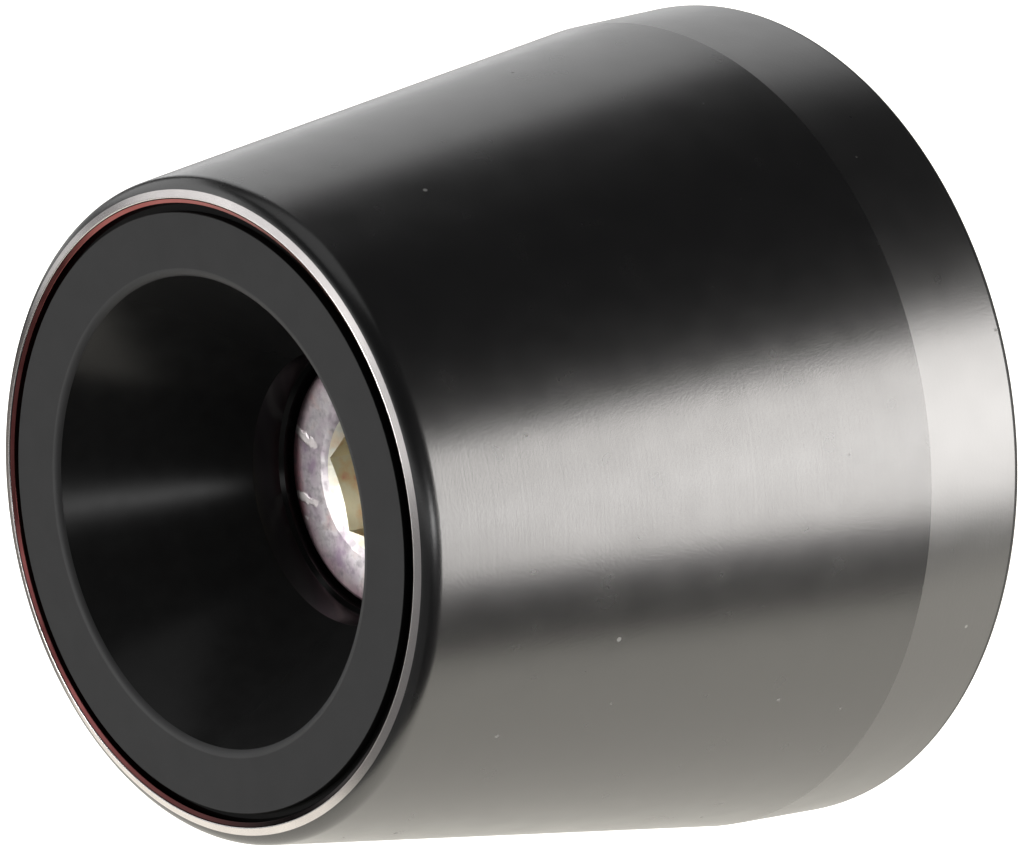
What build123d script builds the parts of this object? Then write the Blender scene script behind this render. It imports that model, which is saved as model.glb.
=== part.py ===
"""Bar end weight: a turned weight with a dark face ring and the screw that clamps it to a handlebar.

Everything is turned about the Y axis. The free end faces -Y, and the rear face, which seats
against the bar, lies at Y = 0. Lengths are in millimetres and angles in degrees.
"""

import math
import os

from build123d import *

# Outside of the weight
body_length = 26.85
rear_diameter = 32.0
rear_round = 0.3
band_length = 4.5
band_taper = 0.2
nose_diameter = 25.14
lip_wall = 0.69
lip_angle = 23.0
lip_outer_round = 0.8
lip_inner_round = 0.03

# Face ring, let into the nose
ring_thickness = 1.2
ring_setback = 0.05
ring_clearance = 0.03
face_width = 2.32
mouth_round = 0.35
rim_width = 0.15
rim_angle = 25.0
groove_depth = 0.37
groove_floor = 0.24
groove_slope = 0.09

# Recess in the nose and the hole for the screw
recess_angle = 59.4
guide_wall = 1.3
guide_step = 0.14
head_drop = 0.4
seat_chamfer = 0.4
rear_countersink = 1.5

# Socket head screw, M6
head_diameter = 10.0
head_height = 6.0
head_round = 0.2
socket_width = 5.0
socket_turn = -7.0
socket_depth = 3.0
socket_mouth = 6.45
socket_core = 4.8
socket_mouth_angle = 140.0
drill_point_angle = 120.0
shank_diameter = 5.3
thread_diameter = 6.0
thread_reach = 7.5
thread_inset = 0.7
point_chamfer = 0.7
neck_round = 0.25

# Fits
head_clearance = 0.15
thread_clearance = 0.2

# Radii that follow from the sizes above
rear_radius = rear_diameter / 2
band_front_radius = rear_radius - band_taper
nose_radius = nose_diameter / 2
ring_seat_radius = nose_radius - lip_wall
ring_radius = ring_seat_radius - ring_clearance
groove_outer_radius = ring_radius - rim_width
groove_floor_radius = groove_outer_radius - groove_slope
face_radius = groove_floor_radius - groove_floor
mouth_radius = face_radius - face_width
head_radius = head_diameter / 2
head_bore_radius = head_radius + head_clearance
guide_radius = head_bore_radius + guide_step
shank_radius = shank_diameter / 2
thread_radius = thread_diameter / 2
hole_radius = thread_radius + thread_clearance
socket_mouth_radius = socket_mouth / 2
socket_core_radius = socket_core / 2

# Stations along the axis, from the nose to the tip of the screw
recess_slope = math.tan(math.radians(recess_angle / 2))
nose_y = -body_length
face_y = nose_y + ring_setback
rim_foot_y = face_y + rim_width * math.tan(math.radians(rim_angle))
ring_floor_y = face_y + ring_thickness
foot_y = face_y + (mouth_radius - guide_radius) / recess_slope
guide_end_y = foot_y + guide_wall
head_bore_y = guide_end_y + guide_step
head_face_y = guide_end_y + head_drop
head_seat_y = head_face_y + head_height
thread_start_y = -thread_inset
tip_y = thread_reach

# The lip's sloped front meets the taper of the weight in a rounded corner
lip_slope = math.tan(math.radians(lip_angle))
taper_slope = (band_front_radius - nose_radius) / (body_length - band_length)
lip_corner_y = nose_y + lip_slope * lip_wall / (1 - lip_slope * taper_slope)
lip_corner_radius = nose_radius + taper_slope * (lip_corner_y - nose_y)

# The recess runs on from the ring into the weight without a step
floor_mouth_radius = mouth_radius - ring_thickness * recess_slope

os.makedirs("parts", exist_ok=True)

# The weight: a cone with a nearly straight band at the rear and a sloped, rounded lip around the nose
with BuildPart() as weight_body:
    with BuildSketch(Plane.XY) as body_section:
        with BuildLine():
            Polyline(
                (hole_radius + rear_countersink, 0),
                (rear_radius, 0),
                (band_front_radius, -band_length),
                (lip_corner_radius, lip_corner_y),
                (ring_seat_radius, nose_y),
                (ring_seat_radius, ring_floor_y),
                (floor_mouth_radius, ring_floor_y),
                (guide_radius, foot_y),
                (guide_radius, guide_end_y),
                (head_bore_radius, head_bore_y),
                (head_bore_radius, head_seat_y),
                (hole_radius + seat_chamfer, head_seat_y),
                (hole_radius, head_seat_y + seat_chamfer),
                (hole_radius, -rear_countersink),
                close=True,
            )
        make_face()
        lip_outer_corner = body_section.vertices().sort_by_distance((lip_corner_radius, lip_corner_y))[0]
        fillet(lip_outer_corner, radius=min(lip_outer_round, 1.2 * lip_wall))
        lip_inner_corner = body_section.vertices().group_by(Axis.Y)[0][0]
        fillet(lip_inner_corner, radius=min(lip_inner_round, 0.1 * lip_wall))
        rear_corner = body_section.vertices().group_by(Axis.Y)[-1].sort_by(Axis.X)[-1]
        fillet(rear_corner, radius=rear_round)
    revolve(axis=Axis.Y)
weight_body.part.label = "weight_body"

# The face ring: a sloped rim, a narrow groove, the flat face and a rounded mouth that starts the recess
with BuildPart() as face_ring:
    with BuildSketch(Plane.XY) as ring_section:
        with BuildLine():
            Polyline(
                (ring_radius, ring_floor_y),
                (ring_radius, face_y),
                (groove_outer_radius, rim_foot_y),
                (groove_floor_radius, face_y + groove_depth),
                (face_radius, face_y + groove_depth),
                (face_radius, face_y),
                (mouth_radius, face_y),
                (floor_mouth_radius, ring_floor_y),
                close=True,
            )
        make_face()
        mouth_corner = ring_section.vertices().sort_by_distance((mouth_radius, face_y))[0]
        fillet(mouth_corner, radius=mouth_round)
    revolve(axis=Axis.Y)
face_ring.part.label = "face_ring"

# The clamp screw: cylinder head, slim shank and a threaded end that stands out behind the seat
with BuildPart() as clamp_screw:
    with BuildSketch(Plane.XY) as screw_section:
        with BuildLine():
            Polyline(
                (0, head_face_y),
                (head_radius, head_face_y),
                (head_radius, head_seat_y),
                (shank_radius, head_seat_y),
                (shank_radius, thread_start_y - (thread_radius - shank_radius)),
                (thread_radius, thread_start_y),
                (thread_radius, tip_y - point_chamfer),
                (thread_radius - point_chamfer, tip_y),
                (0, tip_y),
                close=True,
            )
        make_face()
        head_rim = screw_section.vertices().group_by(Axis.Y)[0].sort_by(Axis.X)[-1]
        fillet(head_rim, radius=head_round)
        neck = screw_section.vertices().filter_by_position(Axis.Y, head_seat_y, head_seat_y)
        fillet(neck.sort_by(Axis.X)[0], radius=neck_round)
    revolve(axis=Axis.Y)
    socket_floor_y = head_face_y + socket_depth
    mouth_depth = (socket_mouth_radius - socket_core_radius) / math.tan(math.radians(socket_mouth_angle / 2))
    drill_depth = socket_core_radius / math.tan(math.radians(drill_point_angle / 2))
    with BuildSketch(Plane.XY):
        with BuildLine():
            Polyline(
                (0, head_face_y),
                (socket_mouth_radius, head_face_y),
                (socket_core_radius, head_face_y + mouth_depth),
                (socket_core_radius, socket_floor_y),
                (0, socket_floor_y + drill_depth),
                close=True,
            )
        make_face()
    revolve(axis=Axis.Y, mode=Mode.SUBTRACT)
    with BuildSketch(Plane.XZ.offset(-head_face_y)):
        RegularPolygon(radius=socket_width / 2, side_count=6, major_radius=False, rotation=socket_turn)
    extrude(amount=-socket_depth, mode=Mode.SUBTRACT)
clamp_screw.part.label = "clamp_screw"

export_step(weight_body.part, "parts/weight_body.step")
export_step(face_ring.part, "parts/face_ring.step")
export_step(clamp_screw.part, "parts/clamp_screw.step")
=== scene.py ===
"""Bar end weight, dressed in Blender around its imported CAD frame.

A turned black body with a bright-cut lip carries a matt face ring with a thin red rim, and a plated socket
screw on its axis. The meshes repeat the CAD sections in finer steps, and the studio repeats the photograph's
view. Sizes of the pieces and their finishes are in mm, and those of the studio in metres.
"""

import logging
import math
from dataclasses import dataclass
from enum import IntEnum
from typing import Any, Callable, Optional, Sequence, Union

import bmesh
import bpy
from mathutils import Matrix, Vector


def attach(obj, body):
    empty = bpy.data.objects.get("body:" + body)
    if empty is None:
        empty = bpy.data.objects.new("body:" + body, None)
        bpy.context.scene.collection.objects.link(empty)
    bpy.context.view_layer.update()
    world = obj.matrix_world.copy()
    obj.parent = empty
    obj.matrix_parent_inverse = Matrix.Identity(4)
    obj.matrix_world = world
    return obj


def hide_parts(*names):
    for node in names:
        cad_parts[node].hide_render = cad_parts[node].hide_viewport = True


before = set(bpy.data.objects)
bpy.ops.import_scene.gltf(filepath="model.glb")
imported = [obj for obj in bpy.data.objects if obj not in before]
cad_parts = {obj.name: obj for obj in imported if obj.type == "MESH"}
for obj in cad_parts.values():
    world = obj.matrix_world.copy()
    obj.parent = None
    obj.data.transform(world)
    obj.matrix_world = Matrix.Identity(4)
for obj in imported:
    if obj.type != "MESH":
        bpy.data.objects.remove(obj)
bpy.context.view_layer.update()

LOG = logging.getLogger("bar_end_weight")
MM = 0.001
SEGMENTS = 360
TURN = 2.0 * math.pi
ANGLES = [TURN * step / SEGMENTS for step in range(SEGMENTS)]
WELD = 0.5e-6
SHARP_ANGLE = math.radians(26.0)
NOISE_MEAN = 0.5
NOISE_DETAIL = 3.0

Colour = tuple[float, float, float, float]
Spot = tuple[float, float]
Sockets = dict[Any, Any]


def plain(level: float) -> Colour:
    """Give a grey of this level."""
    return (level, level, level, 1.0)


def math_operator(operation: str, reflected: bool = False) -> Callable[["Val", "Operand"], "Val"]:
    """Make a Python operator out of a Math node's operation.

    Args:
        operation: The Math node's operation.
        reflected: Whether the socket is the second value.

    Returns:
        The method that adds the node.
    """
    def method(value: "Val", other: "Operand") -> "Val":
        """Add the node."""
        pair = (other, value) if reflected else (value, other)
        return value.tree.maths(operation, *pair)
    return method


class Val:
    """A node socket that can stand in a Python expression."""

    __add__ = math_operator("ADD")
    __radd__ = math_operator("ADD", reflected=True)
    __sub__ = math_operator("SUBTRACT")
    __rsub__ = math_operator("SUBTRACT", reflected=True)
    __mul__ = math_operator("MULTIPLY")
    __rmul__ = math_operator("MULTIPLY", reflected=True)
    __truediv__ = math_operator("DIVIDE")
    __rtruediv__ = math_operator("DIVIDE", reflected=True)
    __lt__ = math_operator("LESS_THAN")
    __gt__ = math_operator("GREATER_THAN")

    def __init__(self, tree: "Tree", socket: bpy.types.NodeSocket) -> None:
        """Keep the socket and the tree that it belongs to."""
        self.tree = tree
        self.socket = socket

    def output(self, name: str) -> "Val":
        """Give another output of the same node."""
        return Val(self.tree, self.socket.node.outputs[name])

    def math(self, operation: str, *others: "Operand") -> "Val":
        """Add a Math node whose first value is this socket."""
        return self.tree.maths(operation, self, *others)

    def limit(self, low: float = 0.0, high: float = 1.0) -> "Val":
        """Hold the value between two numbers."""
        return self.math("MAXIMUM", low).math("MINIMUM", high)

    def swing(self, reach: float) -> "Val":
        """Let a noise vary over this reach, half of it on either side of zero."""
        return (self - NOISE_MEAN) * reach


Operand = Union[int, float, Val]


class Tree:
    """A node tree under construction, for a material, the world or a modifier."""

    def __init__(self, tree: bpy.types.NodeTree) -> None:
        """Keep Blender's tree and empty it."""
        self.tree = tree
        self.tree.nodes.clear()

    def node(self, kind: str, settings: Optional[dict[str, Any]] = None, inputs: Optional[Sockets] = None,
             output: Union[int, str] = 0) -> Val:
        """Add one node, set it up and feed its sockets.

        Args:
            kind: Blender's name of the node's type.
            settings: Properties that are set first; "stops" holds a ramp's positions and colours.
            inputs: Values or links by the socket's name or number.
            output: The output that is given back.

        Returns:
            The chosen output.
        """
        node = self.tree.nodes.new(kind)
        for name, value in (settings or {}).items():
            if name == "stops":
                self._fill_ramp(node, value)
            else:
                setattr(node, name, value)
        self.feed(node, inputs or {})
        return Val(self, node.outputs[output])

    def feed(self, node: bpy.types.Node, inputs: Sockets) -> None:
        """Set or link a node's sockets.

        Args:
            node: The node.
            inputs: Values or links by the socket's name or number.
        """
        for key, value in inputs.items():
            if isinstance(value, Val):
                self.tree.links.new(value.socket, node.inputs[key])
            else:
                node.inputs[key].default_value = value

    def end(self, kind: str, value: Val) -> None:
        """Add the tree's output node, whose first socket takes the value."""
        self.feed(self.tree.nodes.new(kind), {0: value})

    @staticmethod
    def _fill_ramp(node: bpy.types.Node, stops: Sequence[tuple[float, Colour]]) -> None:
        """Give a colour ramp its stops.

        Args:
            node: The ramp's node.
            stops: Positions and colours, in order.
        """
        elements = node.color_ramp.elements
        while len(elements) < len(stops):
            elements.new(1.0)
        for element, (position, colour) in zip(elements, stops):
            element.position = position
            element.color = colour

    def maths(self, operation: str, *values: Operand) -> Val:
        """Add a Math node on values and sockets."""
        return self.node("ShaderNodeMath", {"operation": operation}, dict(enumerate(values)))

    def split(self, vector: Val) -> tuple[Val, Val, Val]:
        """Give a vector's three parts."""
        parts = self.node("ShaderNodeSeparateXYZ", inputs={0: vector})
        return parts, parts.output("Y"), parts.output("Z")

    def join(self, x: Operand, y: Operand, z: Operand) -> Val:
        """Make a vector of three values."""
        return self.node("ShaderNodeCombineXYZ", inputs={0: x, 1: y, 2: z})


class Paint(Tree):
    """The node tree of one material, with its shader and the piece's own coordinates at hand."""

    def __init__(self, name: str) -> None:
        """Start a material with a principled shader.

        Args:
            name: The material's name.
        """
        self.material = bpy.data.materials.new(name)
        self.material.use_nodes = True
        super().__init__(self.material.node_tree)
        self.shader = self.node("ShaderNodeBsdfPrincipled")
        self.end("ShaderNodeOutputMaterial", self.shader)
        self.place = self.node("ShaderNodeTexCoord", output="Object")
        self.x, self.y, self.z = self.split(self.place)
        self.radius = (self.x * self.x + self.z * self.z).math("SQRT")

    def surface(self, sockets: Sockets) -> bpy.types.Material:
        """Feed the shader's sockets by name and give the finished material."""
        self.feed(self.shader.socket.node, sockets)
        return self.material

    def noise(self, size: float, detail: float = NOISE_DETAIL) -> Val:
        """Add a solid noise whose grains are about this many mm across."""
        inputs = {"Vector": self.place, "Scale": 1.0 / (size * MM), "Detail": detail}
        return self.node("ShaderNodeTexNoise", inputs=inputs, output="Fac")

    def turning(self, pitch: float) -> Val:
        """Add rings left by the lathe, about this many mm apart along the section."""
        inputs = {"W": self.radius + self.y, "Scale": 1.0 / (pitch * MM), "Detail": NOISE_DETAIL}
        return self.node("ShaderNodeTexNoise", {"noise_dimensions": "1D"}, inputs, "Fac")

    def specks(self, cell: float, size: float, stretch: tuple[float, float, float] = (1.0, 1.0, 1.0),
               soft: float = 0.03) -> Val:
        """Add scattered specks with soft edges.

        Args:
            cell: Mean distance between specks in the solid, in mm.
            size: Radius of the largest speck, in mm.
            stretch: How much longer the specks are along X, Y and Z.
            soft: Width of a speck's edge, in mm.

        Returns:
            A mask that is 1 in a speck.
        """
        place = self.join(self.x / stretch[0], self.y / stretch[1], self.z / stretch[2])
        cells = self.node("ShaderNodeTexVoronoi", inputs={"Vector": place, "Scale": 1.0 / (cell * MM)})
        chance = self.split(cells.output("Color"))[0]
        return ((chance * (size / cell) - cells) * (cell / soft)).limit()

    def mix(self, factor: Operand, first: Union[Val, Colour], second: Union[Val, Colour]) -> Val:
        """Blend two colours."""
        return self.node("ShaderNodeMix", {"data_type": "RGBA"}, {0: factor, 6: first, 7: second}, 2)

    def bump(self, height: Val, depth: float = 1.0) -> Val:
        """Turn a height into a normal, where a height of 1 is this many mm."""
        inputs = {"Height": height, "Distance": depth * MM}
        return self.node("ShaderNodeBump", inputs=inputs, output="Normal")


@dataclass(frozen=True)
class BlackAnodise:
    """Satin black dyed oxide on turned and blasted aluminium."""

    name: str
    roughness: float
    index: float
    colour: Colour = (0.0045, 0.0045, 0.005, 1.0)
    dust: Colour = (0.24, 0.24, 0.23, 1.0)
    ring_pitch: float = 0.16
    grain_size: float = 0.10
    grain_share: float = 0.7
    depth: float = 0.003
    patch_size: float = 1.4
    patch_gloss: float = 0.07
    dust_cell: float = 1.9
    dust_size: float = 0.12
    scuff_cell: float = 1.5
    scuff_size: float = 0.055
    scuff_stretch: tuple[float, float, float] = (3.0, 6.0, 2.0)
    scuff_share: float = 0.35
    mark_gloss: float = 0.4

    def material(self) -> bpy.types.Material:
        """Build the finish, with faint turning rings, blasted grain, some dust and a few scuffs.

        Returns:
            The material.
        """
        paint = Paint(self.name)
        rings = paint.turning(self.ring_pitch)
        grain = paint.noise(self.grain_size)
        gloss = paint.noise(self.patch_size).swing(self.patch_gloss)
        dust = paint.specks(self.dust_cell, self.dust_size)
        scuffs = paint.specks(self.scuff_cell, self.scuff_size, self.scuff_stretch)
        marks = (dust + scuffs * self.scuff_share).limit()
        height = rings * (1.0 - self.grain_share) + grain * self.grain_share
        return paint.surface({
            "Base Color": paint.mix(marks, self.colour, self.dust),
            "Roughness": self.roughness + gloss + marks * self.mark_gloss,
            "IOR": self.index,
            "Normal": paint.bump(height, self.depth),
        })


@dataclass(frozen=True)
class DeepBlack:
    """Black of the recess, the bores and the rear face, duller than the outside; on the ring's groove
    between the red rim and the face, its near black is painted shade.
    """

    name: str
    grey: float
    roughness: float
    index: float
    worn: float = 1.7
    patch_size: float = 0.9
    patch_gloss: float = 0.08
    ring_pitch: float = 0.11
    ring_depth: float = 0.0012

    def material(self) -> bpy.types.Material:
        """Build the finish, with cutting rings and an uneven dye.

        Returns:
            The material.
        """
        paint = Paint(self.name)
        patches = paint.noise(self.patch_size)
        return paint.surface({
            "Base Color": paint.mix(patches, plain(self.grey), plain(self.grey * self.worn)),
            "Roughness": self.roughness + patches.swing(self.patch_gloss),
            "IOR": self.index,
            "Normal": paint.bump(paint.turning(self.ring_pitch), self.ring_depth),
        })


@dataclass(frozen=True)
class BrightCut:
    """Bare aluminium where the lip was cut after the body was dyed."""

    light: Colour = (0.80, 0.77, 0.76, 1.0)
    dull: Colour = (0.62, 0.58, 0.57, 1.0)
    roughness: float = 0.24
    patch_size: float = 1.6
    patch_gloss: float = 0.10
    ring_pitch: float = 0.06
    ring_depth: float = 0.0003

    def material(self) -> bpy.types.Material:
        """Build the lip's finish, with fine cutting rings and duller patches.

        Returns:
            The material.
        """
        paint = Paint("lip_bright_cut")
        patches = paint.noise(self.patch_size)
        return paint.surface({
            "Base Color": paint.mix(patches, self.light, self.dull),
            "Metallic": 1.0,
            "Roughness": self.roughness + patches.swing(self.patch_gloss),
            "Normal": paint.bump(paint.turning(self.ring_pitch), self.ring_depth),
        })


@dataclass(frozen=True)
class RingCharcoal:
    """Matt charcoal face of the ring, or its rounded mouth, which mirrors a little more."""

    name: str
    index: float
    dark: Colour = (0.066, 0.066, 0.067, 1.0)
    light: Colour = (0.078, 0.078, 0.079, 1.0)
    roughness: float = 0.52
    patch_size: float = 1.1
    grain_size: float = 0.07
    grain_share: float = 0.8
    grain_gloss: float = 0.12
    ring_pitch: float = 0.12
    depth: float = 0.003

    def material(self) -> bpy.types.Material:
        """Build the finish, a fine blasted grain over faint facing rings.

        Returns:
            The material.
        """
        paint = Paint(self.name)
        grain = paint.noise(self.grain_size)
        rings = paint.turning(self.ring_pitch)
        height = grain * self.grain_share + rings * (1.0 - self.grain_share)
        return paint.surface({
            "Base Color": paint.mix(paint.noise(self.patch_size), self.dark, self.light),
            "Roughness": self.roughness + grain.swing(self.grain_gloss),
            "IOR": self.index,
            "Normal": paint.bump(height, self.depth),
        })


@dataclass(frozen=True)
class RedDye:
    """Red dyed oxide on the ring's rim, which shows the metal under it; by direction about the axis its red
    is mixed towards near black on the lower right side.
    """

    # Near black that the red is mixed towards on the lower right side, set by direction about the axis.
    dark_side_colour: Colour = (0.016, 0.009, 0.009, 1.0)
    bright_side_angle: float = 150.0
    side_reach: float = 0.75
    side_level: float = 0.55
    deep: Colour = (0.25, 0.070, 0.068, 1.0)
    bright: Colour = (0.35, 0.125, 0.12, 1.0)
    roughness: float = 0.20
    patch_size: float = 0.8
    patch_detail: float = 2.0
    patch_gloss: float = 0.1
    ring_pitch: float = 0.05
    ring_depth: float = 0.0008

    def material(self) -> bpy.types.Material:
        """Build the rim's finish, with cutting rings and an uneven dye.

        Returns:
            The material.
        """
        paint = Paint("red_dyed_rim")
        patches = paint.noise(self.patch_size, self.patch_detail)
        # Mix by direction about the axis: full red towards 150 degrees from +X to +Z (upper left), near
        # black on the opposite side (lower right).
        side = math.radians(self.bright_side_angle)
        toward = (paint.x * math.cos(side) + paint.z * math.sin(side)) / paint.radius
        bright_side_share = (toward * self.side_reach + self.side_level).limit()
        return paint.surface({
            "Base Color": paint.mix(bright_side_share, self.dark_side_colour, paint.mix(patches, self.deep, self.bright)),
            "Metallic": 1.0,
            "Roughness": self.roughness + patches.swing(self.patch_gloss),
            "Normal": paint.bump(paint.turning(self.ring_pitch), self.ring_depth),
        })


@dataclass(frozen=True)
class Nick:
    """A stroke on the screw's head, between two places across the axis in mm, with a slight burr."""

    start: Spot
    end: Spot
    width: float = 0.38
    soft: float = 0.07
    lift: float = 0.03

    def stroke(self, paint: Paint, ragged: Val) -> tuple[Val, Val]:
        """Mark the stroke.

        Args:
            paint: The material under construction.
            ragged: A noise that frays the stroke's edge.

        Returns:
            A mask that is 1 on the stroke, and the burr's height in mm, which falls towards the end.
        """
        span = Vector(self.end) - Vector(self.start)
        way = span.normalized()
        off_x = paint.x / MM - self.start[0]
        off_z = paint.z / MM - self.start[1]
        along = (off_x * way.x + off_z * way.y).limit(0.0, span.length)
        aside_x = off_x - along * way.x
        aside_z = off_z - along * way.y
        away = (aside_x * aside_x + aside_z * aside_z).math("SQRT")
        mask = ((ragged * self.width - away) / self.soft).limit()
        return mask, mask * (span.length - along) * self.lift


@dataclass(frozen=True)
class ZincPlate:
    """Bright zinc with the faint tints of its passivation, which gathers as gold in the socket."""

    roughness: float = 0.46
    tint_size: float = 1.0
    tint_detail: float = 5.0
    mottle_size: float = 0.34
    mottle_wear: float = 2.6
    mottle_gloss: float = 0.25
    mottle_depth: float = 0.007
    pit_size: float = 0.22
    pit_level: float = 0.47
    pit_edge: float = 2.4
    pit_wear: float = 0.7
    pit_depth: float = 0.5
    fine_detail: float = 4.0
    pit: Colour = (0.31, 0.28, 0.30, 1.0)
    socket_radius: float = 2.95
    socket_end_y: float = -14.0
    rim: Colour = (0.58, 0.30, 0.34, 1.0)
    rim_radius: float = 4.2
    rim_width: float = 0.9
    rim_stain: float = 0.2
    dull: Colour = (0.36, 0.345, 0.34, 1.0)
    thread_y: float = -2.0
    thread_dull: float = 0.6
    thread_mottle: float = 0.5
    thread_gloss: float = 0.32
    nick: Colour = (0.97, 0.90, 0.89, 1.0)
    nicks: tuple[Nick, ...] = (
        Nick((-4.72, 1.19), (-3.65, 0.75)),
        Nick((-4.56, -1.34), (-3.55, -1.55)),
        Nick((-4.18, -2.14), (-4.05, -2.20), width=0.20),
    )
    stain: Nick = Nick((-4.85, 0.8), (-4.45, -2.0), width=0.9, soft=0.5)
    stops: tuple[tuple[float, Colour], ...] = (
        (0.30, (0.44, 0.34, 0.43, 1.0)),
        (0.42, (0.60, 0.53, 0.57, 1.0)),
        (0.54, (0.69, 0.65, 0.66, 1.0)),
        (0.64, (0.67, 0.58, 0.57, 1.0)),
        (0.74, (0.56, 0.31, 0.35, 1.0)),
    )
    gold: tuple[tuple[float, Colour], ...] = (
        (0.30, (0.92, 0.90, 0.76, 1.0)),
        (0.52, (0.96, 0.93, 0.80, 1.0)),
        (0.64, (0.93, 0.78, 0.58, 1.0)),
        (0.76, (0.86, 0.42, 0.32, 1.0)),
    )

    def material(self) -> bpy.types.Material:
        """Build the screw's finish, mottled in tint and gloss, nicked on the head and dull on the thread.

        Returns:
            The material.
        """
        paint = Paint("zinc_plate_tinted")
        tint = paint.noise(self.tint_size, self.tint_detail)
        mottle = paint.noise(self.mottle_size, self.fine_detail)
        pits = ((paint.noise(self.pit_size, self.fine_detail) - self.pit_level) * self.pit_edge).limit()
        cloud, gold = (paint.node("ShaderNodeValToRGB", {"stops": stops}, {0: tint}, "Color")
                       for stops in (self.stops, self.gold))
        inside = (paint.radius < self.socket_radius * MM) * (paint.y < self.socket_end_y * MM)
        worn = (mottle.swing(self.mottle_wear) + pits * self.pit_wear) * (1.0 - inside)
        edge = ((paint.radius / MM - self.rim_radius) / self.rim_width).limit()
        stained = edge * (self.rim_stain + mottle) + self.stain.stroke(paint, tint)[0]
        rosy = paint.mix(stained.limit(), cloud, self.rim)
        plated = paint.mix(worn.limit(), paint.mix(inside, rosy, gold), self.pit)
        threaded = (paint.y > self.thread_y * MM) * (mottle * self.thread_mottle + self.thread_dull)
        dulled = paint.mix(threaded.limit(), plated, self.dull)
        nicked: Operand = 0.0
        height = (mottle - pits * self.pit_depth) * self.mottle_depth
        for nick in self.nicks:
            mask, burr = nick.stroke(paint, mottle)
            nicked = mask.math("MAXIMUM", nicked)
            height = height + burr
        return paint.surface({
            "Base Color": paint.mix(nicked, dulled, self.nick),
            "Metallic": 1.0,
            "Roughness": self.roughness + mottle.swing(self.mottle_gloss) + threaded * self.thread_gloss,
            "Normal": paint.bump(height),
        })


class BodyZone(IntEnum):
    """The finishes along the body's section, as the numbers of their material slots."""

    OUTSIDE = 0
    LIP = 1
    RECESS = 2
    BORE = 3
    BAND = 4
    REAR = 5


class RingZone(IntEnum):
    """The finishes along the ring's section, as the numbers of their material slots."""

    BORE = 0
    FACE = 1
    RIM = 2
    # The groove's floor and inner wall, coloured near black as painted shade.
    GROOVE = 3
    MOUTH = 4


@dataclass(frozen=True)
class Corner:
    """A corner of a turned section in mm, its rounding, and the finish of the run that follows it.

    The rounding has the finish of the run before it, unless it has one of its own.
    """

    r: float
    y: float
    zone: IntEnum
    rounding: float = 0.0
    round_zone: Optional[IntEnum] = None


@dataclass(frozen=True)
class Section:
    """A closed section, stepped finely enough to be turned into a smooth mesh."""

    corners: tuple[Corner, ...]
    arc_steps: int = 12
    longest_step: float = 1.2
    shortest_run: float = 0.1
    ease: float = 0.025

    def points(self) -> list[tuple[float, float, int]]:
        """Step round the section.

        Returns:
            The points in order, in mm, each with the finish of the step that follows it.
        """
        arcs = [self._arc(index) for index in range(len(self.corners))]
        result: list[tuple[float, float, int]] = []
        for index, arc in enumerate(arcs):
            corner = self.corners[index]
            zone = int(corner.zone)
            round_zone = self.corners[index - 1].zone if corner.round_zone is None else corner.round_zone
            result += [(p.x, p.y, int(round_zone)) for p in arc[:-1]]
            result.append((arc[-1].x, arc[-1].y, zone))
            after = arcs[(index + 1) % len(arcs)][0]
            result += [(p.x, p.y, zone) for p in self._run(arc[-1], after)]
        return result

    def _arc(self, index: int) -> list[Vector]:
        """Step round one corner.

        Args:
            index: The corner's number.

        Returns:
            The points of its arc, or the corner alone where it isn't rounded.
        """
        corner = self.corners[index]
        before = self.corners[index - 1]
        after = self.corners[(index + 1) % len(self.corners)]
        tip = Vector((corner.r, corner.y))
        if corner.rounding == 0.0:
            return [tip]
        back = (Vector((before.r, before.y)) - tip).normalized()
        onward = (Vector((after.r, after.y)) - tip).normalized()
        half = back.angle(onward) / 2.0
        start = tip + back * (corner.rounding / math.tan(half))
        end = tip + onward * (corner.rounding / math.tan(half))
        centre = tip + (back + onward).normalized() * (corner.rounding / math.sin(half))
        points = []
        for step in range(self.arc_steps + 1):
            spoke = (start - centre).slerp(end - centre, step / self.arc_steps)
            points.append(centre + spoke.normalized() * corner.rounding)
        return points

    def _run(self, start: Vector, end: Vector) -> list[Vector]:
        """Step along a straight run.

        Args:
            start: The run's first point.
            end: The run's last point.

        Returns:
            The points between them, with one close to each end to hold the shading.
        """
        length = (end - start).length
        if length < self.shortest_run:
            return []
        steps = max(1, math.ceil(length / self.longest_step))
        shares = [step / steps for step in range(1, steps)]
        shares = [self.ease / length] + shares + [1.0 - self.ease / length]
        return [start.lerp(end, share) for share in shares]


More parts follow.
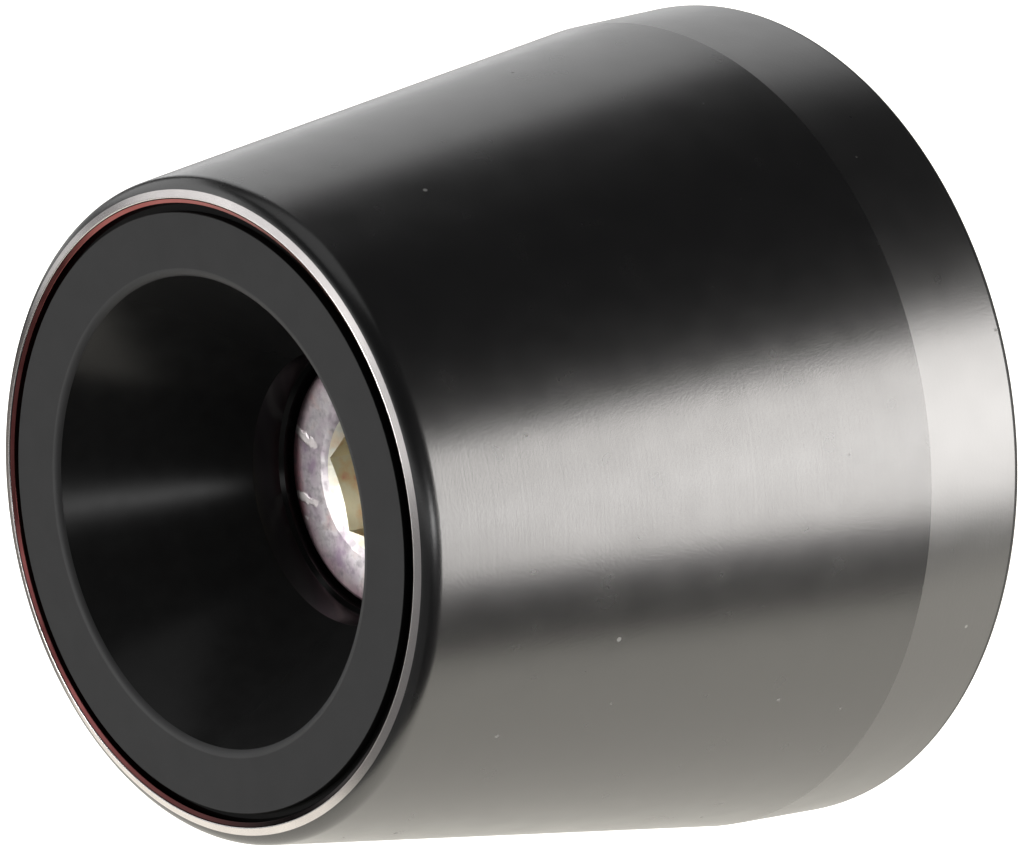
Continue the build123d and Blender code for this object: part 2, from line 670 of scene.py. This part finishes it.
class Modelling:
    """Geometry Nodes trees of this object, and the way from a tree to a plain mesh."""

    @staticmethod
    def tree(name: str, sockets: Sequence[tuple[str, str]]) -> tuple[Tree, Val, dict[str, str]]:
        """Start a tree with named inputs and one geometry output.

        Args:
            name: The tree's name.
            sockets: Each input's name and socket type.

        Returns:
            The tree, its group input and the identifier of each input.
        """
        group = bpy.data.node_groups.new(name, "GeometryNodeTree")
        keys = {}
        for label, kind in sockets:
            item = group.interface.new_socket(label, in_out="INPUT", socket_type=kind)
            keys[label] = item.identifier
        group.interface.new_socket("Geometry", in_out="OUTPUT", socket_type="NodeSocketGeometry")
        tree = Tree(group)
        return tree, tree.node("NodeGroupInput"), keys

    @staticmethod
    def sheet(tree: Tree, around: Val, along: Val) -> tuple[Val, Val, Val]:
        """Add a flat grid that is bent into shape later.

        Args:
            tree: The tree under construction.
            around: Number of steps about the axis.
            along: Number of steps along the section.

        Returns:
            The grid, and each point's share of the way round and along.
        """
        counts = {"Size X": 1.0, "Size Y": 1.0, "Vertices X": around + 1, "Vertices Y": along + 1}
        grid = tree.node("GeometryNodeMeshGrid", inputs=counts, output="Mesh")
        place_x, place_y, _ = tree.split(tree.node("GeometryNodeInputPosition"))
        return grid, place_x + 0.5, place_y + 0.5

    @staticmethod
    def sample(tree: Tree, kind: str, source: Val, value: Val, index: Val) -> Val:
        """Read a value of this kind at a numbered point of a geometry."""
        inputs = {"Geometry": source, "Value": value, "Index": index}
        return tree.node("GeometryNodeSampleIndex", {"data_type": kind, "domain": "POINT"}, inputs, "Value")

    @staticmethod
    def close(tree: Tree, sheet: Val, radius: Val, along: Val, share: Val, material: Val) -> None:
        """Bend the grid about the Y axis, weld its seam and end the tree.

        Args:
            tree: The tree under construction.
            sheet: The grid.
            radius: Each point's distance from the axis.
            along: Each point's place on the axis.
            share: Each point's share of the way round.
            material: The material's input socket.
        """
        angle = share * TURN
        place = tree.join(radius * angle.math("SINE"), along, radius * angle.math("COSINE"))
        bent = tree.node("GeometryNodeSetPosition", inputs={"Geometry": sheet, "Position": place})
        welded = tree.node("GeometryNodeMergeByDistance", inputs={"Geometry": bent, "Distance": WELD})
        real = tree.node("GeometryNodeRealizeInstances", inputs={"Geometry": welded})
        done = tree.node("GeometryNodeSetMaterial", inputs={"Geometry": real, "Material": material})
        tree.end("NodeGroupOutput", done)

    @classmethod
    def turned_section(cls) -> tuple[bpy.types.NodeTree, dict[str, str]]:
        """Build the tree that turns a row of section points about the Y axis.

        Returns:
            The tree and the identifier of each input.
        """
        tree, source, keys = cls.tree("turned_section", (
            ("Section", "NodeSocketGeometry"), ("Segments", "NodeSocketInt"),
            ("Points", "NodeSocketInt"), ("Finish", "NodeSocketMaterial"),
        ))
        points = source.output("Points")
        grid, around, along = cls.sheet(tree, source.output("Segments"), points)
        zone = tree.node("GeometryNodeInputNamedAttribute", {"data_type": "INT"}, {"Name": "zone"},
                         "Attribute")
        zone_here = cls.sample(tree, "INT", source, zone, (along * points).math("FLOOR"))
        marked = tree.node("GeometryNodeStoreNamedAttribute", {"data_type": "INT", "domain": "FACE"},
                           {"Geometry": grid, "Name": "zone", "Value": zone_here})
        row = (along * points).math("ROUND").math("MODULO", points)
        corner = cls.sample(tree, "FLOAT_VECTOR", source, tree.node("GeometryNodeInputPosition"), row)
        radius, height, _ = tree.split(corner)
        cls.close(tree, marked, radius, height, around, source.output("Finish"))
        return tree.tree, keys

    @classmethod
    def screw_thread(cls) -> tuple[bpy.types.NodeTree, dict[str, str]]:
        """Build the tree of a right-hand thread with a run-out at its start and a chamfered point.

        Returns:
            The tree and the identifier of each input.
        """
        lengths = ("Start", "End", "Pitch", "Major Radius", "Shank Radius", "Point Radius", "Depth",
                   "Crest", "Flank", "Run Out")
        tree, source, keys = cls.tree("screw_thread", (
            ("Segments", "NodeSocketInt"), ("Rows", "NodeSocketInt"),
            *((label, "NodeSocketFloat") for label in lengths), ("Finish", "NodeSocketMaterial"),
        ))
        start, end, pitch, major, shank, point, depth, crest, flank, runout = (
            source.output(label) for label in lengths)
        grid, around, share = cls.sheet(tree, source.output("Segments"), source.output("Rows"))
        along = start + share * (end - start)
        phase = (along / pitch - around).math("FRACT")
        aside = (phase - 0.5).math("ABSOLUTE") * pitch
        cut = ((aside - crest / 2.0) / flank).limit()
        growth = ((along - start) / runout).limit()
        ramp = shank + (along - start)
        chamfer = point + (end - along)
        radius = (major - cut * depth * growth).math("MINIMUM", ramp).math("MINIMUM", chamfer)
        cls.close(tree, grid, radius, along, around, source.output("Finish"))
        return tree.tree, keys

    @staticmethod
    def to_mesh(name: str, base: bpy.types.Mesh, tree: bpy.types.NodeTree,
                inputs: dict[str, Any]) -> bpy.types.Mesh:
        """Run a tree on a mesh and keep the result as a plain mesh.

        Args:
            name: Name of the new mesh.
            base: The mesh that the tree starts from.
            tree: The Geometry Nodes tree.
            inputs: Values by the input's identifier.

        Returns:
            The plain mesh.
        """
        holder = bpy.data.objects.new(name + "_source", base)
        bpy.context.scene.collection.objects.link(holder)
        modifier = holder.modifiers.new("shape", "NODES")
        modifier.node_group = tree
        for key, value in inputs.items():
            modifier[key] = value
        graph = bpy.context.evaluated_depsgraph_get()
        mesh = bpy.data.meshes.new_from_object(holder.evaluated_get(graph), depsgraph=graph)
        holder.modifiers.remove(modifier)
        bpy.data.objects.remove(holder)
        mesh.name = name
        return mesh


class Lathe:
    """Meshes turned about the Y axis."""

    def __init__(self) -> None:
        """Build the tree once for every turned piece."""
        self.tree, self.keys = Modelling.turned_section()

    def turn(self, name: str, section: Section, finishes: Sequence[bpy.types.Material]) -> bpy.types.Object:
        """Turn a section into a piece.

        Args:
            name: The piece's name.
            section: The closed section.
            finishes: Materials in the order of the zones.

        Returns:
            The piece.
        """
        points = section.points()
        row = bpy.data.meshes.new(name + "_row")
        row.from_pydata([(r * MM, y * MM, 0.0) for r, y, _ in points], [], [])
        marks = row.attributes.new("zone", "INT", "POINT")
        marks.data.foreach_set("value", [zone for _, _, zone in points])
        mesh = Modelling.to_mesh(name, row, self.tree, {
            self.keys["Segments"]: SEGMENTS,
            self.keys["Points"]: len(points),
            self.keys["Finish"]: finishes[0],
        })
        zones = [0] * len(mesh.polygons)
        mesh.attributes["zone"].data.foreach_get("value", zones)
        mesh.materials.clear()
        for finish in finishes:
            mesh.materials.append(finish)
        mesh.polygons.foreach_set("material_index", zones)
        mesh.attributes.remove(mesh.attributes["zone"])
        return place_piece(name, mesh)


def place_piece(name: str, mesh: bpy.types.Mesh) -> bpy.types.Object:
    """Turn a mesh's faces outwards, shade it and link it as a piece.

    Args:
        name: The piece's name.
        mesh: Its mesh, in metres in the CAD frame.

    Returns:
        The piece.
    """
    shape = bmesh.new()
    shape.from_mesh(mesh)
    bmesh.ops.remove_doubles(shape, verts=shape.verts, dist=WELD)
    bmesh.ops.recalc_face_normals(shape, faces=shape.faces)
    shape.to_mesh(mesh)
    shape.free()
    mesh.shade_smooth()
    mesh.set_sharp_from_angle(angle=SHARP_ANGLE)
    piece = bpy.data.objects.new(name, mesh)
    bpy.context.scene.collection.objects.link(piece)
    LOG.info("%s: %d faces", name, len(mesh.polygons))
    return piece


def fit_piece(piece: bpy.types.Object, node: str) -> bpy.types.Object:
    """Let a piece stand for a CAD node and ride with the part.

    Args:
        piece: The piece.
        node: The CAD node that it replaces.

    Returns:
        The piece.
    """
    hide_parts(node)
    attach(piece, "root")
    return piece


@dataclass
class Layout:
    """Sizes in mm that the pieces share, and the stations along the axis that follow from them."""

    nose_y: float = -26.85
    ring_setback: float = 0.05
    ring_thickness: float = 1.2
    ring_seat_radius: float = 11.88
    ring_clearance: float = 0.03
    mouth_radius: float = 9.05
    recess_angle: float = 59.4
    head_radius: float = 5.0
    head_clearance: float = 0.15
    guide_step: float = 0.14
    guide_wall: float = 1.3
    head_drop: float = 0.4
    head_height: float = 6.0

    def __post_init__(self) -> None:
        """Work out the radii of the recess and the stations, from the ring's face to the screw's seat."""
        recess_slope = math.tan(math.radians(self.recess_angle / 2.0))
        self.floor_mouth_radius = self.mouth_radius - self.ring_thickness * recess_slope
        self.head_bore_radius = self.head_radius + self.head_clearance
        self.guide_radius = self.head_bore_radius + self.guide_step
        self.face_y = self.nose_y + self.ring_setback
        self.ring_floor_y = self.face_y + self.ring_thickness
        self.foot_y = self.face_y + (self.mouth_radius - self.guide_radius) / recess_slope
        self.guide_end_y = self.foot_y + self.guide_wall
        self.head_bore_y = self.guide_end_y + self.guide_step
        self.head_face_y = self.guide_end_y + self.head_drop
        self.head_seat_y = self.head_face_y + self.head_height


@dataclass
class WeightBody:
    """The turned body: a taper with a rim band, a sloped lip round the ring seat and a conical recess."""

    layout: Layout
    rear_radius: float = 15.998
    rear_round: float = 0.3
    band_front_radius: float = 15.8
    band_length: float = 4.5
    nose_radius: float = 12.57
    lip_angle: float = 23.0
    lip_outer_round: float = 0.8
    lip_inner_round: float = 0.04
    seat_chamfer: float = 0.4
    hole_radius: float = 3.2
    rear_countersink: float = 1.5
    edge_break: float = 0.06

    def lip_corner(self) -> Spot:
        """Find where the lip's slope would meet the taper.

        Returns:
            The radius and the place on the axis.
        """
        slope = math.tan(math.radians(self.lip_angle))
        taper = (self.band_front_radius - self.nose_radius) / (-self.band_length - self.layout.nose_y)
        rise = slope * (self.nose_radius - self.layout.ring_seat_radius) / (1.0 - slope * taper)
        return self.nose_radius + taper * rise, self.layout.nose_y + rise

    def section(self) -> Section:
        """Draw the body's section.

        Returns:
            The section, from the rear hole outwards and forwards and back through the bore.
        """
        outside, recess, bore = BodyZone.OUTSIDE, BodyZone.RECESS, BodyZone.BORE
        plan = self.layout
        lip_radius, lip_y = self.lip_corner()
        return Section((
            Corner(self.hole_radius + self.rear_countersink, 0.0, BodyZone.REAR, self.edge_break),
            Corner(self.rear_radius, 0.0, BodyZone.BAND, self.rear_round),
            Corner(self.band_front_radius, -self.band_length, outside),
            Corner(lip_radius, lip_y, BodyZone.LIP, self.lip_outer_round),
            Corner(plan.ring_seat_radius, plan.nose_y, recess, self.lip_inner_round),
            Corner(plan.ring_seat_radius, plan.ring_floor_y, recess),
            Corner(plan.floor_mouth_radius, plan.ring_floor_y, recess),
            Corner(plan.guide_radius, plan.foot_y, bore, self.edge_break),
            Corner(plan.guide_radius, plan.guide_end_y, bore),
            Corner(plan.head_bore_radius, plan.head_bore_y, bore),
            Corner(plan.head_bore_radius, plan.head_seat_y, bore),
            Corner(self.hole_radius + self.seat_chamfer, plan.head_seat_y, bore),
            Corner(self.hole_radius, plan.head_seat_y + self.seat_chamfer, bore),
            Corner(self.hole_radius, -self.rear_countersink, outside),
        ))

    def build(self, lathe: Lathe, finishes: Sequence[bpy.types.Material]) -> bpy.types.Object:
        """Turn the body in the finishes that BodyZone numbers, and put it on its CAD node."""
        piece = lathe.turn("turned_body", self.section(), finishes)
        return fit_piece(piece, "weight_body")


@dataclass
class FaceRing:
    """The ring in the body's mouth: a red rim that slopes into a groove, a matt face and a rounded bore."""

    layout: Layout
    rim_width: float = 0.15
    rim_angle: float = 25.0
    groove_slope: float = 0.09
    groove_floor: float = 0.24
    groove_depth: float = 0.37
    mouth_round: float = 0.35
    edge_break: float = 0.03

    def section(self) -> Section:
        """Draw the ring's section.

        Returns:
            The section, from its outer wall over the rim, the groove and the face to its bore.
        """
        bore, rim, groove = RingZone.BORE, RingZone.RIM, RingZone.GROOVE
        plan = self.layout
        ring_radius = plan.ring_seat_radius - plan.ring_clearance
        slope_radius = ring_radius - self.rim_width
        floor_radius = slope_radius - self.groove_slope
        face_radius = floor_radius - self.groove_floor
        rim_foot_y = plan.face_y + self.rim_width * math.tan(math.radians(self.rim_angle))
        groove_y = plan.face_y + self.groove_depth
        return Section((
            Corner(ring_radius, plan.ring_floor_y, bore),
            Corner(ring_radius, plan.face_y, rim),
            Corner(slope_radius, rim_foot_y, rim, self.edge_break),
            Corner(floor_radius, groove_y, groove),
            Corner(face_radius, groove_y, groove),
            Corner(face_radius, plan.face_y, RingZone.FACE, self.edge_break),
            Corner(plan.mouth_radius, plan.face_y, bore, self.mouth_round, RingZone.MOUTH),
            Corner(plan.floor_mouth_radius, plan.ring_floor_y, bore),
        ))

    def build(self, lathe: Lathe, finishes: Sequence[bpy.types.Material]) -> bpy.types.Object:
        """Turn the ring in the finishes that RingZone numbers, and put it on its CAD node."""
        piece = lathe.turn("turned_ring", self.section(), finishes)
        return fit_piece(piece, "face_ring")


@dataclass
class ClampScrew:
    """The socket screw on the axis: a head with a hexagon, a shank and a threaded end."""

    layout: Layout
    head_round: float = 0.2
    socket_width: float = 5.0
    socket_turn: float = -7.0
    socket_depth: float = 3.0
    socket_mouth: float = 6.45
    socket_mouth_angle: float = 140.0
    socket_core: float = 4.8
    brim_ease: float = 0.05
    drill_angle: float = 120.0
    shank_radius: float = 2.65
    neck_round: float = 0.25
    seat_step: float = 1.0
    thread_radius: float = 3.0
    thread_start_y: float = -0.7
    tip_y: float = 7.5
    point_chamfer: float = 0.7
    pitch: float = 1.0
    thread_depth: float = 0.613
    flank_angle: float = 30.0
    crest_width: float = 0.125
    run_out: float = 1.1
    thread_rows: int = 176
    arc_steps: int = 8
    drill_shares: tuple[float, ...] = (0.25, 0.5, 0.75, 1.0)
    wall_shares: tuple[float, ...] = (0.0, 0.33, 0.66, 1.0)

    def __post_init__(self) -> None:
        """Work out the stations of the socket and the thread, and the point's radius."""
        core_slope = math.tan(math.radians(self.drill_angle / 2.0))
        self.floor_y = self.layout.head_face_y + self.socket_depth
        self.drill_y = self.floor_y + self.socket_core / 2.0 / core_slope
        self.ramp_y = self.thread_start_y - (self.thread_radius - self.shank_radius)
        self.point_radius = self.thread_radius - self.point_chamfer

    def hexagon(self, angle: float) -> float:
        """Find the socket's wall.

        Args:
            angle: An angle about the axis, measured from +Z towards +X.

        Returns:
            The wall's radius there.
        """
        corner = TURN / 4.0 - math.radians(self.socket_turn)
        turned = (angle - corner) % (TURN / 6.0) - TURN / 12.0
        return self.socket_width / 2.0 / math.cos(turned)

    def socket_rings(self) -> list[list[Spot]]:
        """Step over the socket.

        Returns:
            Rings of points, from the drill point out to the socket's mouth.
        """
        core, mouth, face_y = self.socket_core / 2.0, self.socket_mouth / 2.0, self.layout.head_face_y
        mouth_slope = math.tan(math.radians(self.socket_mouth_angle / 2.0))
        walls = [self.hexagon(angle) for angle in ANGLES]
        brims = [(wall, face_y + (mouth - wall) / mouth_slope) for wall in walls]
        rings = []
        for share in self.drill_shares:
            rings.append([(core * share, self.drill_y + (self.floor_y - self.drill_y) * share)] * SEGMENTS)
        for share in self.wall_shares:
            rings.append([(wall, self.floor_y + (brim - self.floor_y) * share) for wall, brim in brims])
        rings.append([((wall + mouth) / 2.0, (brim + face_y) / 2.0) for wall, brim in brims])
        return rings

    def head_rings(self) -> list[list[Spot]]:
        """Step over the head and the shank.

        Returns:
            Rings of points, from the socket's mouth over the head and down to the thread.
        """
        face_y, seat_y = self.layout.head_face_y, self.layout.head_seat_y
        head, shank, mouth = self.layout.head_radius, self.shank_radius, self.socket_mouth / 2.0
        rim_centre = (head - self.head_round, face_y + self.head_round)
        neck_centre = (shank + self.neck_round, seat_y + self.neck_round)
        outline = [(mouth, face_y), (mouth + self.brim_ease, face_y)]
        outline += self._quarter(rim_centre, self.head_round, 1)
        outline += [(head, seat_y), (shank + self.seat_step, seat_y)]
        outline += self._quarter(neck_centre, self.neck_round, -1)
        outline += [(shank, (seat_y + self.ramp_y) / 2.0), (shank, self.ramp_y)]
        return [[spot] * SEGMENTS for spot in outline]

    def _quarter(self, centre: Spot, radius: float, way: int) -> list[Spot]:
        """Step round a quarter circle of the section, from its front.

        Args:
            centre: The circle's centre, as a radius and a place on the axis.
            radius: The circle's radius.
            way: 1 for an arc that turns away from the axis, -1 for one that turns towards it.

        Returns:
            The arc's points.
        """
        points = []
        for step in range(self.arc_steps + 1):
            angle = (way * step / self.arc_steps - 1.0) * TURN / 4.0
            points.append((centre[0] + radius * math.cos(angle), centre[1] + radius * math.sin(angle)))
        return points

    @staticmethod
    def _fan(name: str, middle_y: float, rings: Sequence[Sequence[Spot]]) -> bpy.types.Mesh:
        """Build a skin over rings of points about the axis.

        Args:
            name: The mesh's name.
            middle_y: Place on the axis of the point inside the first ring.
            rings: Rings of points, each a radius and a place on the axis.

        Returns:
            The skin.
        """
        points = [(0.0, middle_y * MM, 0.0)]
        for ring in rings:
            for angle, (r, y) in zip(ANGLES, ring):
                points.append((r * math.sin(angle) * MM, y * MM, r * math.cos(angle) * MM))
        faces: list[tuple[int, ...]] = []
        for step in range(SEGMENTS):
            after = (step + 1) % SEGMENTS
            faces.append((0, 1 + step, 1 + after))
            for level in range(len(rings) - 1):
                low = 1 + level * SEGMENTS
                high = low + SEGMENTS
                faces.append((low + step, high + step, high + after, low + after))
        mesh = bpy.data.meshes.new(name)
        mesh.from_pydata(points, [], faces)
        return mesh

    def head(self) -> bpy.types.Mesh:
        """Build the head, the socket and the shank, down to where the thread starts."""
        return self._fan("screw_head", self.drill_y, self.socket_rings() + self.head_rings())

    def point(self) -> bpy.types.Mesh:
        """Build the flat end of the thread."""
        return self._fan("screw_point", self.tip_y, [[(self.point_radius, self.tip_y)] * SEGMENTS])

    def thread(self, finish: bpy.types.Material) -> bpy.types.Mesh:
        """Build the thread by its Geometry Nodes tree.

        Args:
            finish: The screw's finish.

        Returns:
            The thread's skin.
        """
        tree, keys = Modelling.screw_thread()
        lengths = {
            "Start": self.ramp_y, "End": self.tip_y, "Pitch": self.pitch,
            "Major Radius": self.thread_radius, "Shank Radius": self.shank_radius,
            "Point Radius": self.point_radius, "Depth": self.thread_depth, "Crest": self.crest_width,
            "Flank": self.thread_depth * math.tan(math.radians(self.flank_angle)), "Run Out": self.run_out,
        }
        inputs: dict[str, Any] = {keys[label]: length * MM for label, length in lengths.items()}
        inputs[keys["Segments"]] = SEGMENTS
        inputs[keys["Rows"]] = self.thread_rows
        inputs[keys["Finish"]] = finish
        return Modelling.to_mesh("screw_thread", bpy.data.meshes.new("thread_base"), tree, inputs)

    def build(self, finish: bpy.types.Material) -> bpy.types.Object:
        """Join the head, the thread and the point, and put the screw on its CAD node.

        Args:
            finish: The screw's finish.

        Returns:
            The piece.
        """
        shape = bmesh.new()
        for part in (self.head(), self.thread(finish), self.point()):
            shape.from_mesh(part)
        mesh = bpy.data.meshes.new("threaded_screw")
        shape.to_mesh(mesh)
        shape.free()
        mesh.materials.append(finish)
        return fit_piece(place_piece("threaded_screw", mesh), "clamp_screw")


def heading(azimuth: float, elevation: float) -> Vector:
    """Give a direction.

    Args:
        azimuth: Degrees from the free face towards +X.
        elevation: Degrees upwards.

    Returns:
        The direction, of length 1.
    """
    turn = math.radians(azimuth)
    rise = math.radians(elevation)
    return Vector((math.sin(turn) * math.cos(rise), -math.cos(turn) * math.cos(rise), math.sin(rise)))


@dataclass(frozen=True)
class Softbox:
    """A lamp panel that faces a point: its direction from there, its distance, its size and its radiance."""

    name: str
    azimuth: float
    elevation: float
    distance: float
    width: float
    height: float
    radiance: float
    tint: tuple[float, float, float] = (1.0, 1.0, 1.0)

    def light(self, target: Vector) -> None:
        """Hang the lamp and aim it.

        Args:
            target: The point that it faces.
        """
        lamp = bpy.data.lights.new(self.name, "AREA")
        lamp.shape = "RECTANGLE"
        lamp.size = self.width
        lamp.size_y = self.height
        lamp.energy = self.radiance * math.pi * self.width * self.height
        lamp.color = self.tint
        holder = bpy.data.objects.new(self.name, lamp)
        holder.visible_camera = False
        way = heading(self.azimuth, self.elevation)
        holder.location = target + way * self.distance
        holder.rotation_euler = (-way).to_track_quat("-Z", "Y").to_euler()
        bpy.context.scene.collection.objects.link(holder)


@dataclass
class Studio:
    """White paper under the part, three flags for its mirror images, the lamps and the camera.

    A place on the floor is written as metres to the right of the line of sight and metres along it.
    The flags lie on the paper, two in front and one at the left, and are seen only in the part.
    """

    view_azimuth: float = 48.8
    view_elevation: float = 12.86
    eye: tuple[float, float, float] = (0.2533, -0.2334, 0.0780)
    focal_pixels: float = 9000.0
    picture_width: float = 1024.0
    sensor: float = 36.0
    clip_near: float = 0.01
    clip_far: float = 10.0
    lamp_target: tuple[float, float, float] = (0.0, -0.011, 0.0)
    floor_z: float = -0.15
    reach: float = 2.4
    paper_colour: Colour = (0.88, 0.86, 0.80, 1.0)
    paper_glow: float = 0.75
    sheet_roughness: float = 0.9
    sheet_gloss: float = 0.1
    patch_size: float = 60.0
    patch_detail: float = 2.0
    patch_shade: float = 0.985
    mirror_tint: tuple[float, float, float] = (1.0, 0.955, 0.86)
    flag_right: Spot = (2.4, 0.87)
    flag_corner: Spot = (0.15, -0.08)
    flag_split: Spot = (-0.03, -0.10)
    flag_left: Spot = (-2.4, 0.85)
    flag_lift: float = 0.004
    dark_flag: float = 0.08
    grey_flag: float = 0.28
    shade_flag: Colour = (0.34, 0.31, 0.29, 1.0)
    shade_near: Spot = (-0.23, 0.22)
    shade_inner: Spot = (-0.10, 0.32)
    shade_outer: Spot = (-2.4, 0.95)
    backdrop_spot: Spot = (0.0, 1.1)
    sky: float = 0.03
    horizon: float = 0.85
    horizon_rise: float = 0.05
    horizon_fade: float = 0.05

    def build(self) -> None:
        """Build the floor, the lamps, the world and the camera."""
        far = self.reach
        paper = ((-far, -far), (far, -far), (far, far), (-far, far))
        self.sheet("paper_floor", paper, self.floor_z, self.paper_colour, self.paper_glow)
        near = (self.flag_split[0], -far)
        right = (self.flag_right, self.flag_corner, self.flag_split, near, (far, -far))
        left = (self.flag_split, self.flag_left, (-far, -far), near)
        corner = (self.shade_inner[0], far)
        shade = (self.shade_near, self.shade_inner, corner, (-far, far), self.shade_outer)
        flags = (("dark_flag", right, plain(self.dark_flag)), ("grey_flag", left, plain(self.grey_flag)),
                 ("shade_flag", shade, self.shade_flag))
        for name, spots, colour in flags:
            flag = self.sheet(name, spots, self.floor_z + self.flag_lift, colour, 0.0)
            flag.visible_camera = False
            flag.visible_shadow = False
        for lamp in self.lamps():
            lamp.light(Vector(self.lamp_target))
        backdrop = Softbox("backdrop_light", self.view_azimuth, 48.0, 0.60, 0.50, 0.50, 2.2)
        backdrop.light(self.floor_place(self.backdrop_spot, self.floor_z))
        self.world()
        self.camera()

    def lamps(self) -> tuple[Softbox, ...]:
        """Choose the lamps that face the part.

        Returns:
            Two strips at the right, panels round the rest, and a small lamp that reaches the screw.
        """
        return (
            Softbox("side_softbox", 129.0, 2.5, 0.46, 0.34, 0.33, 6.6, (1.0, 0.97, 0.94)),
            Softbox("low_strip", 71.5, 1.5, 0.70, 0.20, 0.085, 4.8),
            Softbox("back_panel", -136.0, 24.0, 1.0, 0.70, 0.85, 1.0),
            Softbox("left_panel", -75.0, 25.0, 1.0, 0.95, 0.50, 0.95),
            Softbox("top_panel", -40.0, 78.0, 1.0, 0.90, 0.90, 0.35),
            Softbox("front_panel", -32.0, 7.0, 0.9, 0.58, 0.56, 1.0),
            Softbox("screw_light", -24.0, 2.0, 0.8, 0.14, 0.14, 26.0),
        )

    def floor_place(self, spot: Spot, height: float) -> Vector:
        """Find a place on the floor.

        Args:
            spot: The place, to the right of the line of sight and along it.
            height: Its height in the frame.

        Returns:
            The point in the frame.
        """
        aside = heading(self.view_azimuth + 90.0, 0.0) * spot[0]
        ahead = heading(self.view_azimuth + 180.0, 0.0) * spot[1]
        return aside + ahead + Vector((0.0, 0.0, height))

    def sheet(self, name: str, spots: Sequence[Spot], height: float, colour: Colour,
              glow: float) -> bpy.types.Object:
        """Lay a flat sheet.

        Args:
            name: The sheet's name.
            spots: Places of its corners on the floor.
            height: Its height in the frame.
            colour: Its colour.
            glow: Light that it adds for the camera and for mirror rays alone.

        Returns:
            The sheet.
        """
        corners = [self.floor_place(spot, height) for spot in spots]
        mesh = bpy.data.meshes.new(name)
        mesh.from_pydata(corners, [], [tuple(range(len(corners)))])
        paint = Paint(name)
        shade = tuple(part * self.patch_shade for part in colour[:3]) + (1.0,)
        camera = paint.node("ShaderNodeLightPath", output="Is Camera Ray")
        mirror = (camera.output("Is Glossy Ray") + camera.output("Is Transmission Ray")).limit()
        warm = tuple(part * glow for part in self.mirror_tint) + (1.0,)
        mirrored = paint.mix(mirror, plain(0.0), warm)
        mesh.materials.append(paint.surface({
            "Base Color": paint.mix(paint.noise(self.patch_size, self.patch_detail), colour, shade),
            "Roughness": self.sheet_roughness,
            "Specular IOR Level": self.sheet_gloss,
            "Emission Color": paint.mix(camera, mirrored, plain(glow)),
            "Emission Strength": 1.0,
        }))
        floor = bpy.data.objects.new(name, mesh)
        bpy.context.scene.collection.objects.link(floor)
        return floor

    def world(self) -> None:
        """Set a dark sky over a pale horizon."""
        world = bpy.data.worlds.new("studio")
        world.use_nodes = True
        bpy.context.scene.world = world
        tree = Tree(world.node_tree)
        way = tree.node("ShaderNodeTexCoord", output="Generated")
        rise = tree.split(way)[2].math("ABSOLUTE")
        glow = 1.0 - ((rise - self.horizon_rise) / self.horizon_fade).limit()
        level = glow * (self.horizon - self.sky) + self.sky
        tree.end("ShaderNodeOutputWorld", tree.node("ShaderNodeBackground", inputs={
            "Color": plain(1.0),
            "Strength": level,
        }))

    def camera(self) -> None:
        """Set the camera at the photograph's viewing angle."""
        data = bpy.data.cameras.new("photo_view")
        data.sensor_width = self.sensor
        data.lens = self.focal_pixels / self.picture_width * self.sensor
        data.clip_start = self.clip_near
        data.clip_end = self.clip_far
        ahead = -heading(self.view_azimuth, self.view_elevation)
        aside = heading(self.view_azimuth + 90.0, 0.0)
        upward = aside.cross(ahead)
        turn = Matrix((aside, upward, -ahead)).transposed()
        holder = bpy.data.objects.new("photo_view", data)
        holder.matrix_world = Matrix.Translation(Vector(self.eye)) @ turn.to_4x4()
        bpy.context.scene.collection.objects.link(holder)
        bpy.context.scene.camera = holder


def main() -> None:
    """Build the three pieces and the studio."""
    logging.basicConfig(level=logging.INFO, format="%(name)s: %(message)s")
    bpy.context.scene.view_settings.view_transform = "Standard"
    outside = BlackAnodise("black_anodise_satin", roughness=0.26, index=2.0)
    band = BlackAnodise("black_anodise_band", roughness=0.29, index=2.1)
    recess = DeepBlack("recess_black", grey=0.015, roughness=0.24, index=1.34)
    bore = DeepBlack("bore_black", grey=0.008, roughness=0.18, index=1.45)
    # The groove's near-black, matt finish is painted shade in the gap between the red rim and the charcoal
    # face.
    groove = DeepBlack("groove_painted_shade", grey=0.003, roughness=0.70, index=1.25)
    rear = DeepBlack("rear_black", grey=0.012, roughness=0.40, index=1.30, ring_pitch=0.22, ring_depth=0.003)
    face = RingCharcoal("ring_charcoal_matt", index=1.15)
    mouth = RingCharcoal("ring_charcoal_mouth", index=1.30)
    recess_finish = recess.material()
    body_finishes = [outside.material(), BrightCut().material(), recess_finish]
    body_finishes += [finish.material() for finish in (bore, band, rear)]
    ring_finishes = [recess_finish]
    ring_finishes += [finish.material() for finish in (face, RedDye(), groove, mouth)]
    lathe = Lathe()
    layout = Layout()
    pieces = [
        WeightBody(layout).build(lathe, body_finishes),
        FaceRing(layout).build(lathe, ring_finishes),
        ClampScrew(layout).build(ZincPlate().material()),
    ]
    LOG.info("pieces: %s", ", ".join(piece.name for piece in pieces))
    Studio().build()


if __name__ == "__main__":
    main()
